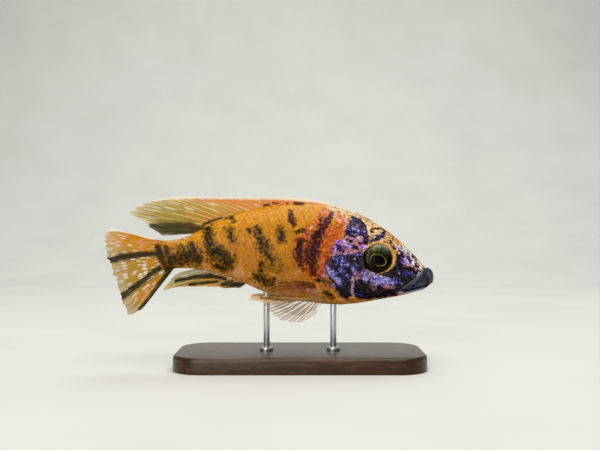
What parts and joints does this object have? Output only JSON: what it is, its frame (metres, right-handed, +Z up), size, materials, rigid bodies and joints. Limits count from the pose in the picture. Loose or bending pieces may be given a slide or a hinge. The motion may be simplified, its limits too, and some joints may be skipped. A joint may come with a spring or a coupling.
{
  "type": "peacock cichlid display model",
  "caption": "Still, life-size blotched peacock cichlid with spread fins, held level on two short steel rods over a flat wooden base with rounded corners.",
  "frame": {"origin": "the middle of the stand base's flat underside", "axes": "+X towards the fish's snout, -Y to its right side, the side that the picture shows, +Z up"},
  "size_m": [0.1271, 0.044, 0.066],
  "materials": {
    "scaled_skin": "satin orange-gold scaled skin with dark blotches",
    "head_skin": "wet blue-violet and black head skin, cream and gold on the forehead",
    "lip_skin": "smooth slate-blue lips",
    "fin_membrane": "translucent golden membrane with rays",
    "eye": "clear glossy cornea over a dark iris with a thin gold ring",
    "stand_wood": "dark stained hardwood, satin varnish",
    "stand_steel": "brushed"
  },
  "bodies": {
    "root": {"head": "head_skin", "gill_cover_left": "head_skin", "gill_cover_right": "head_skin", "upper_lip": "lip_skin", "lower_jaw": "lip_skin", "eye_left": "eye", "eye_right": "eye", "torso": "scaled_skin", "tail": "scaled_skin", "dorsal_fin": "fin_membrane", "caudal_fin": "fin_membrane", "anal_fin": "fin_membrane", "pectoral_fin_left": "fin_membrane", "pectoral_fin_right": "fin_membrane", "pelvic_fin_left": "fin_membrane", "pelvic_fin_right": "fin_membrane", "stand_base": "stand_wood", "stand_rod_front": "stand_steel", "stand_rod_rear": "stand_steel"}
  },
  "joints": []
}
